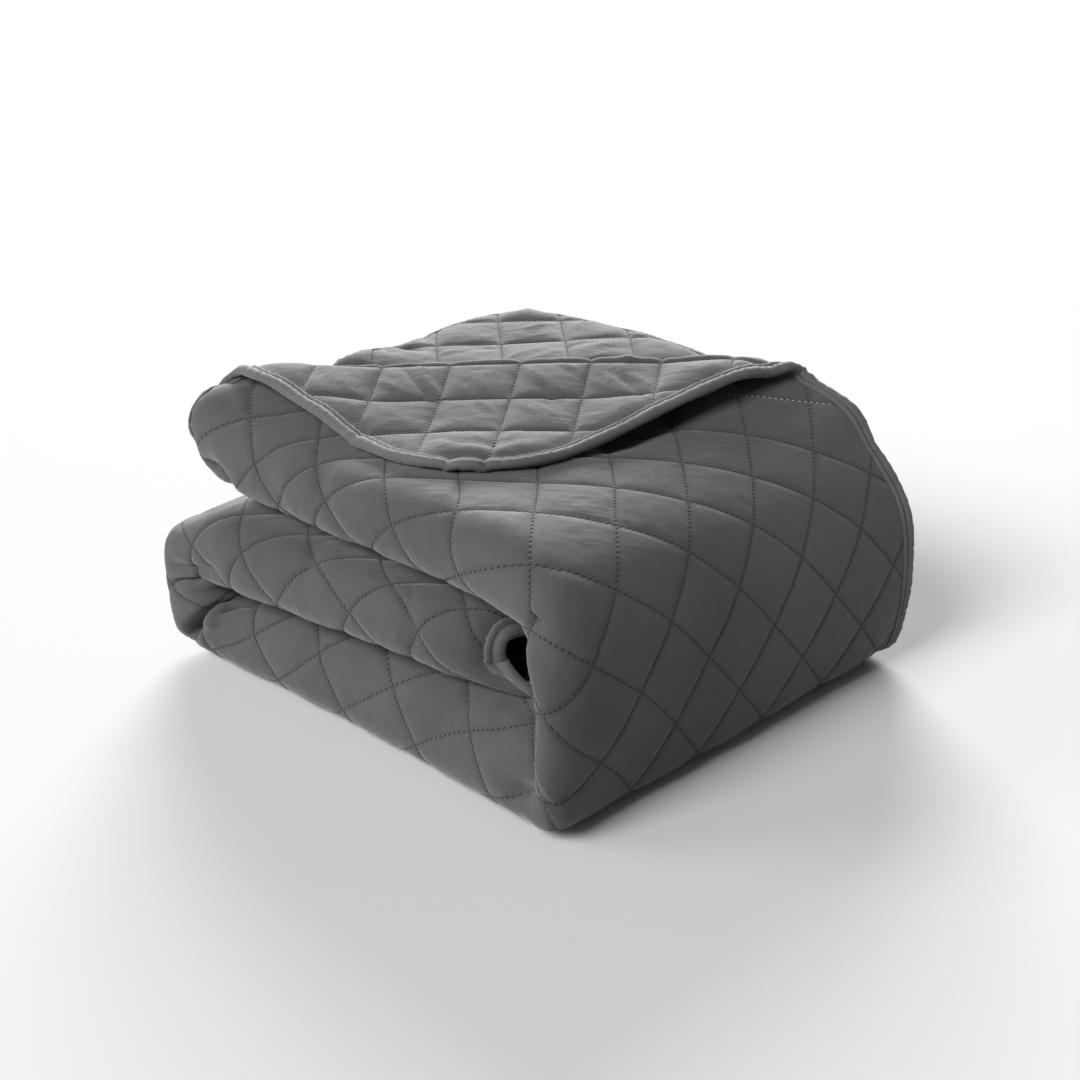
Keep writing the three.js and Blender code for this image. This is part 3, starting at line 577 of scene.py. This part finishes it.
def binding_mesh():
    pts, outs, s = outline(4.0)
    total = s[-1] + 4.0
    wave = 0.55 * np.sin(2 * math.pi * s / total * round(total / 13.0)) + 0.45 * np.sin(2 * math.pi * s / total * round(total / 7.9) + 1.3)
    slow = np.sin(2 * math.pi * s / total * round(total / 61.0) + 0.7)
    prof = [(w, h, 1) for w, h in BIND_OUTER] + [(w, -h, 1) for w, h in BIND_OUTER[-2::-1]]
    prof += [(w, -h, 0) for w, h in BIND_INNER] + [(w, h, 0) for w, h in BIND_INNER[-2::-1]]
    n = len(prof)
    pos = np.zeros((len(pts), n, 3))
    uvs = np.zeros((len(pts), n, 2))
    for k, (w, h, out) in enumerate(prof):
        ww = np.full(len(pts), w)
        hh = np.full(len(pts), h)
        if out:
            puff = 1 + (0.12 * wave + 0.07 * slow) * (1 if w < 9 else 0.6)
            hh = hh * puff
            ww = np.where(w > 8, w + 0.5 * wave + 0.5 * slow, w)
        u, v = pts[:, 0] - outs[:, 0] * ww, pts[:, 1] - outs[:, 1] * ww
        pos[:, k] = at(u, v) + normal(np.clip(u, 2, LENGTH - 2), np.clip(v, 2, WIDTH - 2)) * hh[:, None]
        uvs[:, k, 0] = s
        uvs[:, k, 1] = w * np.sign(h if h else 1) if out else 30 + w
    pos[..., 2] = np.maximum(pos[..., 2], 0.05)
    faces = []
    m = len(pts)
    for i in range(m):
        j = (i + 1) % m
        for k in range(n):
            l = (k + 1) % n
            faces.append([i * n + k, i * n + l, j * n + l, j * n + k])
    return pos.reshape(-1, 3), faces, (uvs[..., 0].ravel(), uvs[..., 1].ravel())


# ---------------------------------------------------------------- sewing thread
def threads(mid, n, ahead, length, radius):
    """one small tapered thread at each point"""
    t = ahead / np.maximum(np.linalg.norm(ahead, axis=1, keepdims=True), 1e-9)
    b = np.cross(n, t)
    ring = ((1, 0), (0, 1), (-1, 0), (0, -1))
    parts = [mid - t * length / 2 - n * radius]
    for k in (-0.27, 0.27):
        parts += [mid + t * length * k + b * radius * x + n * radius * y for x, y in ring]
    parts.append(mid + t * length / 2 - n * radius)
    pos = np.stack(parts, 1)
    one = [[0, 2, 1], [0, 3, 2], [0, 4, 3], [0, 1, 4]]
    one += [[1 + k, 1 + (k + 1) % 4, 5 + (k + 1) % 4, 5 + k] for k in range(4)]
    one += [[9, 5, 6], [9, 6, 7], [9, 7, 8], [9, 8, 5]]
    faces = [[i * 10 + x for x in f] for i in range(len(pos)) for f in one]
    return pos.reshape(-1, 3), faces


def quilt_threads():
    out_m, out_n, out_t, out_l = [], [], [], []
    a_all, b_all = to_ab(np.array([0, LENGTH, 0, LENGTH]), np.array([0, 0, WIDTH, WIDTH]))
    lo = math.floor(min(a_all.min(), b_all.min()))
    hi = math.ceil(max(a_all.max(), b_all.max()))
    run = lo + (np.arange((hi - lo) * STITCHES) + 0.5) / STITCHES
    for family in (0, 1):
        for k in range(lo, hi + 1):
            a, b = (np.full(len(run), float(k)), run) if family == 0 else (run, np.full(len(run), float(k)))
            u, v = to_uv(a, b)
            step = 0.6 / QUILT_SIDE
            u1, v1 = to_uv(a, b + step) if family == 0 else to_uv(a + step, b)
            du, dv = u1 - u, v1 - v
            ok = edge_distance(u, v) > 16
            for side in (0, 1):
                pick = ok & seen(u, v, side)
                if not pick.any():
                    continue
                uu, vv = u[pick], v[pick]
                n = normal(uu, vv) * (1 if side == 0 else -1)
                out_m.append(at(uu, vv) + n * (SEAM_HALF + 0.12))
                out_n.append(n)
                lit = (k == 14) & (a > 14.2) & (a < 16.7) if family else (k == 16) & (b > 13.9) & (b < 14.6)
                out_l.append((lit & (side == 0))[pick])
                out_t.append(at(uu + du[pick], vv + dv[pick]) - at(uu - du[pick], vv - dv[pick]))
    m, n, t, lit = np.vstack(out_m), np.vstack(out_n), np.vstack(out_t), np.concatenate(out_l)
    up = m[:, 2] > 1.5
    pos, faces = threads(m[up], n[up], t[up], 3.9, 0.42)
    return pos, faces, np.repeat(lit[up], len(faces) // up.sum())


def binding_threads():
    pts, outs, s = outline(4.3)
    w = BIND_SEAM
    u, v = pts[:, 0] - outs[:, 0] * w, pts[:, 1] - outs[:, 1] * w
    n = normal(u, v)
    t = at(u - outs[:, 1] * 0.6, v + outs[:, 0] * 0.6) - at(u + outs[:, 1] * 0.6, v - outs[:, 0] * 0.6)
    m = at(u, v)
    ms = np.vstack([m + n * BIND_SEAM_HIGH, m - n * BIND_SEAM_HIGH])
    keep = ms[:, 2] > 1.0
    return threads(ms[keep], np.vstack([n, -n])[keep], np.vstack([t, t])[keep], 3.2, 0.4)


# ---------------------------------------------------------------- materials
class Nodes:
    def __init__(self, name):
        self.mat = bpy.data.materials.new(name)
        self.mat.use_nodes = True
        self.tree = self.mat.node_tree
        self.tree.nodes.clear()
        self.out = self.tree.nodes.new("ShaderNodeOutputMaterial")
        self.bsdf = self.tree.nodes.new("ShaderNodeBsdfPrincipled")
        self.tree.links.new(self.bsdf.outputs[0], self.out.inputs[0])

    def put(self, socket, value):
        if hasattr(value, "is_linked"):
            self.tree.links.new(value, socket)
        else:
            socket.default_value = value

    def math(self, op, a, b=0.0, c=0.0, clamp=False):
        n = self.tree.nodes.new("ShaderNodeMath")
        n.operation = op
        n.use_clamp = clamp
        for s, x in zip(n.inputs, (a, b, c)):
            self.put(s, x)
        return n.outputs[0]

    def ramp(self, x, lo, hi, to_lo=0.0, to_hi=1.0):
        n = self.tree.nodes.new("ShaderNodeMapRange")
        n.interpolation_type = "SMOOTHSTEP"
        for s, val in zip(n.inputs, (x, lo, hi, to_lo, to_hi)):
            self.put(s, val)
        return n.outputs[0]

    def noise(self, vector, scale, detail=2.0, rough=0.5):
        n = self.tree.nodes.new("ShaderNodeTexNoise")
        n.inputs["Scale"].default_value = scale
        n.inputs["Detail"].default_value = detail
        n.inputs["Roughness"].default_value = rough
        self.tree.links.new(vector, n.inputs["Vector"])
        return n.outputs[0]

    def vector(self, x, y, z=0.0):
        n = self.tree.nodes.new("ShaderNodeCombineXYZ")
        for s, val in zip(n.inputs, (x, y, z)):
            self.put(s, val)
        return n.outputs[0]

    def flat(self):
        n = self.tree.nodes.new("ShaderNodeUVMap")
        n.uv_map = "flat"
        s = self.tree.nodes.new("ShaderNodeSeparateXYZ")
        self.tree.links.new(n.outputs[0], s.inputs[0])
        return s.outputs[0], s.outputs[1]

    def bump(self, height, distance, strength=1.0, below=None):
        n = self.tree.nodes.new("ShaderNodeBump")
        n.inputs["Strength"].default_value = strength
        n.inputs["Distance"].default_value = distance
        self.tree.links.new(height, n.inputs["Height"])
        if below is not None:
            self.tree.links.new(below, n.inputs["Normal"])
        return n.outputs[0]

    def tone(self, factor, dark, light):
        n = self.tree.nodes.new("ShaderNodeMix")
        n.data_type = "RGBA"
        self.tree.links.new(factor, n.inputs["Factor"])
        n.inputs["A"].default_value = (*dark, 1)
        n.inputs["B"].default_value = (*light, 1)
        return n.outputs["Result"]

    def times(self, colour, factor):
        n = self.tree.nodes.new("ShaderNodeVectorMath")
        n.operation = "SCALE"
        self.tree.links.new(colour, n.inputs[0])
        self.put(n.inputs["Scale"], factor)
        return n.outputs[0]

    def finish(self, colour, rough, sheen, normal_out):
        b = self.bsdf
        self.tree.links.new(colour, b.inputs["Base Color"])
        b.inputs["Roughness"].default_value = rough
        b.inputs["Specular IOR Level"].default_value = 0.25
        b.inputs["Sheen Weight"].default_value = sheen
        b.inputs["Sheen Roughness"].default_value = 0.5
        self.tree.links.new(normal_out, b.inputs["Normal"])
        return self.mat


CLOTH_DARK, CLOTH_LIGHT = (0.0455, 0.0467, 0.0465), (0.0565, 0.0577, 0.0573)


def cloth_material():
    m = Nodes("quilted_cloth")
    u, v = m.flat()
    uu = m.math("DIVIDE", m.math("SUBTRACT", u, QUILT_AT[0] * MM), QUILT_U * MM)
    vv = m.math("DIVIDE", m.math("SUBTRACT", v, QUILT_AT[1] * MM), QUILT_V * MM)
    a, b = m.math("ADD", uu, vv), m.math("SUBTRACT", uu, vv)

    def to_line(x):  # distance to the nearest whole number, in mm on the cloth
        return m.math("MULTIPLY", m.math("PINGPONG", x, 0.5), QUILT_SIDE)

    da, db = to_line(a), to_line(b)
    # needle holes, at the ends of the stitches
    ha = m.math("MULTIPLY", m.math("PINGPONG", m.math("MULTIPLY", b, float(STITCHES)), 0.5), QUILT_SIDE / STITCHES)
    hb = m.math("MULTIPLY", m.math("PINGPONG", m.math("MULTIPLY", a, float(STITCHES)), 0.5), QUILT_SIDE / STITCHES)

    def hole(d, along):
        r = m.math("SQRT", m.math("ADD", m.math("POWER", d, 2.0), m.math("POWER", along, 2.0)))
        return m.ramp(r, 0.55, 1.5, 1.0, 0.0)

    holes = m.math("MAXIMUM", hole(da, ha), hole(db, hb))
    near = m.math("MINIMUM", da, db)
    groove = m.ramp(near, 0.0, 6.0, 1.0, 0.0)
    flat = m.vector(u, v)
    # pull lines that run across the diamonds, in patches
    skew1 = m.vector(m.math("ADD", m.math("MULTIPLY", u, 14.0), m.math("MULTIPLY", v, 11.0)), m.math("SUBTRACT", m.math("MULTIPLY", v, 62.0), m.math("MULTIPLY", u, 75.0)))
    skew2 = m.vector(m.math("SUBTRACT", m.math("MULTIPLY", u, 13.0), m.math("MULTIPLY", v, 12.0)), m.math("ADD", m.math("MULTIPLY", v, 66.0), m.math("MULTIPLY", u, 60.0)))
    w1, w2 = m.noise(skew1, 1.0, 2.0, 0.5), m.noise(skew2, 1.0, 2.0, 0.5)
    patch = m.ramp(m.noise(flat, 17.0, 1.0), 0.42, 0.6)
    pull = m.math("ADD", m.math("MULTIPLY", w1, patch), m.math("MULTIPLY", w2, m.math("SUBTRACT", 1.0, patch)))
    pull = m.math("MULTIPLY", pull, m.ramp(near, 0.5, 7.0, 0.35, 1.0))
    soft = m.noise(flat, 60.0, 2.0)
    weave = m.noise(flat, 1500.0, 2.0, 0.6)
    n = m.bump(soft, 0.0022, 0.55)
    n = m.bump(pull, 0.0020, 0.5, n)
    n = m.bump(m.math("SUBTRACT", 1.0, holes), 0.0012, 0.9, n)
    n = m.bump(weave, 0.00025, 0.55, n)
    colour = m.tone(m.ramp(m.noise(flat, 9.0, 3.0), 0.3, 0.7), CLOTH_DARK, CLOTH_LIGHT)
    # painted shade: the cloth is darker in the needle holes (down to 0.35) and along the quilting grooves (down to
    # 0.86); the weave tone multiplied in below is the cloth's own
    shade = m.math("MULTIPLY", m.ramp(holes, 0.0, 1.0, 1.0, 0.35), m.ramp(groove, 0.0, 1.0, 1.0, 0.86))
    shade = m.math("MULTIPLY", shade, m.ramp(weave, 0.25, 0.75, 0.93, 1.07))
    return m.finish(m.times(colour, shade), 0.86, 0.2, n)


def binding_material():
    m = Nodes("binding_cloth")
    s, w = m.flat()
    flat = m.vector(s, w)
    fold = m.noise(m.vector(m.math("MULTIPLY", s, 150.0), m.math("MULTIPLY", w, 45.0)), 1.0, 2.0)
    weave = m.noise(flat, 1500.0, 2.0, 0.6)
    n = m.bump(fold, 0.0016, 0.6)
    n = m.bump(weave, 0.00025, 0.5, n)
    colour = m.tone(m.ramp(m.noise(flat, 25.0, 2.0), 0.3, 0.7), CLOTH_DARK, CLOTH_LIGHT)
    # painted shade: the binding is darkened to 0.72 along its seam line; painted highlight: the whole binding is made
    # 1.5 times lighter than the cloth, for the light its rolled ridge catches
    seam_shade = m.ramp(m.math("ABSOLUTE", m.math("SUBTRACT", m.math("ABSOLUTE", w), BIND_SEAM * MM)), 0.0003, 0.0012, 0.72, 1.0)
    return m.finish(m.times(colour, m.math("MULTIPLY", seam_shade, 1.5)), 0.84, 0.22, n)


# The default tones set the thread darker than the cloth: painted shade for the groove it lies in. The twist noise
# between the two tones is the thread's own.
def thread_material(name="sewing_thread", dark=(0.020, 0.021, 0.021), light=(0.033, 0.034, 0.034)):
    m = Nodes(name)
    t = m.tree.nodes.new("ShaderNodeTexCoord")
    twist = m.noise(t.outputs["Object"], 2500.0, 1.0)
    n = m.bump(twist, 0.0003, 0.6)
    colour = m.tone(twist, dark, light)
    return m.finish(colour, 0.7, 0.1, n)


# ---------------------------------------------------------------- build
pos, faces, qu, qv = quilt_mesh()
quilt = make("quilt_cloth", pos, faces, (qu, qv))
pos, faces, uv = binding_mesh()
binding = make("edge_binding", pos, faces, uv)
pos, faces, lit = quilt_threads()
sewn = make("quilting_thread", pos, faces)
hem = make("binding_thread", *binding_threads())

cloth, strip, thread = cloth_material(), binding_material(), thread_material()
for ob, mat in ((quilt, cloth), (binding, strip), (sewn, thread), (hem, thread)):
    ob.data.materials.append(mat)
    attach(ob, "root")
sewn.data.materials.append(thread_material("lit_thread", (0.3, 0.305, 0.3), (0.42, 0.425, 0.42)))
sewn.data.polygons.foreach_set("material_index", lit.astype(np.int32))
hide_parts("quilt")
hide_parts("binding")
edge_length = float(outline(4.0)[2][-1] + 4.0)

# ---------------------------------------------------------------- floor, light, camera
me = bpy.data.meshes.new("floor")
me.from_pydata([(-30, -30, 0), (30, -30, 0), (30, 30, 0), (-30, 30, 0)], [], [(0, 1, 2, 3)])
floor = bpy.data.objects.new("floor", me)
bpy.context.scene.collection.objects.link(floor)
fm = bpy.data.materials.new("floor")
fm.use_nodes = True
bs = fm.node_tree.nodes["Principled BSDF"]
bs.inputs["Base Color"].default_value = (0.55, 0.55, 0.55, 1)
bs.inputs["Roughness"].default_value = 0.9
bs.inputs["Specular IOR Level"].default_value = 0.1
me.materials.append(fm)

world = bpy.data.worlds.new("studio")
bpy.context.scene.world = world
world.use_nodes = True
world.node_tree.nodes["Background"].inputs[0].default_value = (1, 1, 1, 1)
world.node_tree.nodes["Background"].inputs[1].default_value = 0.18


def sun(name, towards, strength, angle):
    data = bpy.data.lights.new(name, "SUN")
    data.energy, data.angle = strength, math.radians(angle)
    ob = bpy.data.objects.new(name, data)
    ob.rotation_mode = "QUATERNION"
    ob.rotation_quaternion = Vector(towards).to_track_quat("Z", "Y")
    bpy.context.scene.collection.objects.link(ob)


sun("back", (-0.6725, 0.6725, 0.309), 6.2, 30)
sun("left", (-0.664, -0.664, 0.342), 1.5, 30)
sun("front", (0.0, -0.766, 0.643), 3.7, 30)

VIEW_F, VIEW_EL, VIEW_AZ, VIEW_D = 2078.8, math.radians(23.3), math.radians(44.3), 1648.0
right = np.array([math.cos(VIEW_AZ), math.sin(VIEW_AZ), 0])
level = np.array([-math.sin(VIEW_AZ), math.cos(VIEW_AZ), 0])
zed = np.array([0, 0, 1.0])
ahead = level * math.cos(VIEW_EL) - zed * math.sin(VIEW_EL)
above = level * math.sin(VIEW_EL) + zed * math.cos(VIEW_EL)
near_corner = np.array([240.0, -257.5, 0]) - ORIGIN
eye = near_corner - VIEW_D * (5 / VIEW_F * right - 285 / VIEW_F * above + ahead)
cam = bpy.data.cameras.new("camera")
cam.sensor_width, cam.lens = 36.0, 36.0 * VIEW_F / 1080
cam.clip_start, cam.clip_end = 0.05, 200
camera = bpy.data.objects.new("camera", cam)
camera.matrix_world = Matrix([[right[k], above[k], -ahead[k], eye[k] * MM] for k in range(3)] + [[0, 0, 0, 1]])
bpy.context.scene.collection.objects.link(camera)
bpy.context.scene.camera = camera
bpy.context.scene.view_settings.view_transform = "Standard"
bpy.context.scene.view_settings.look = "None"
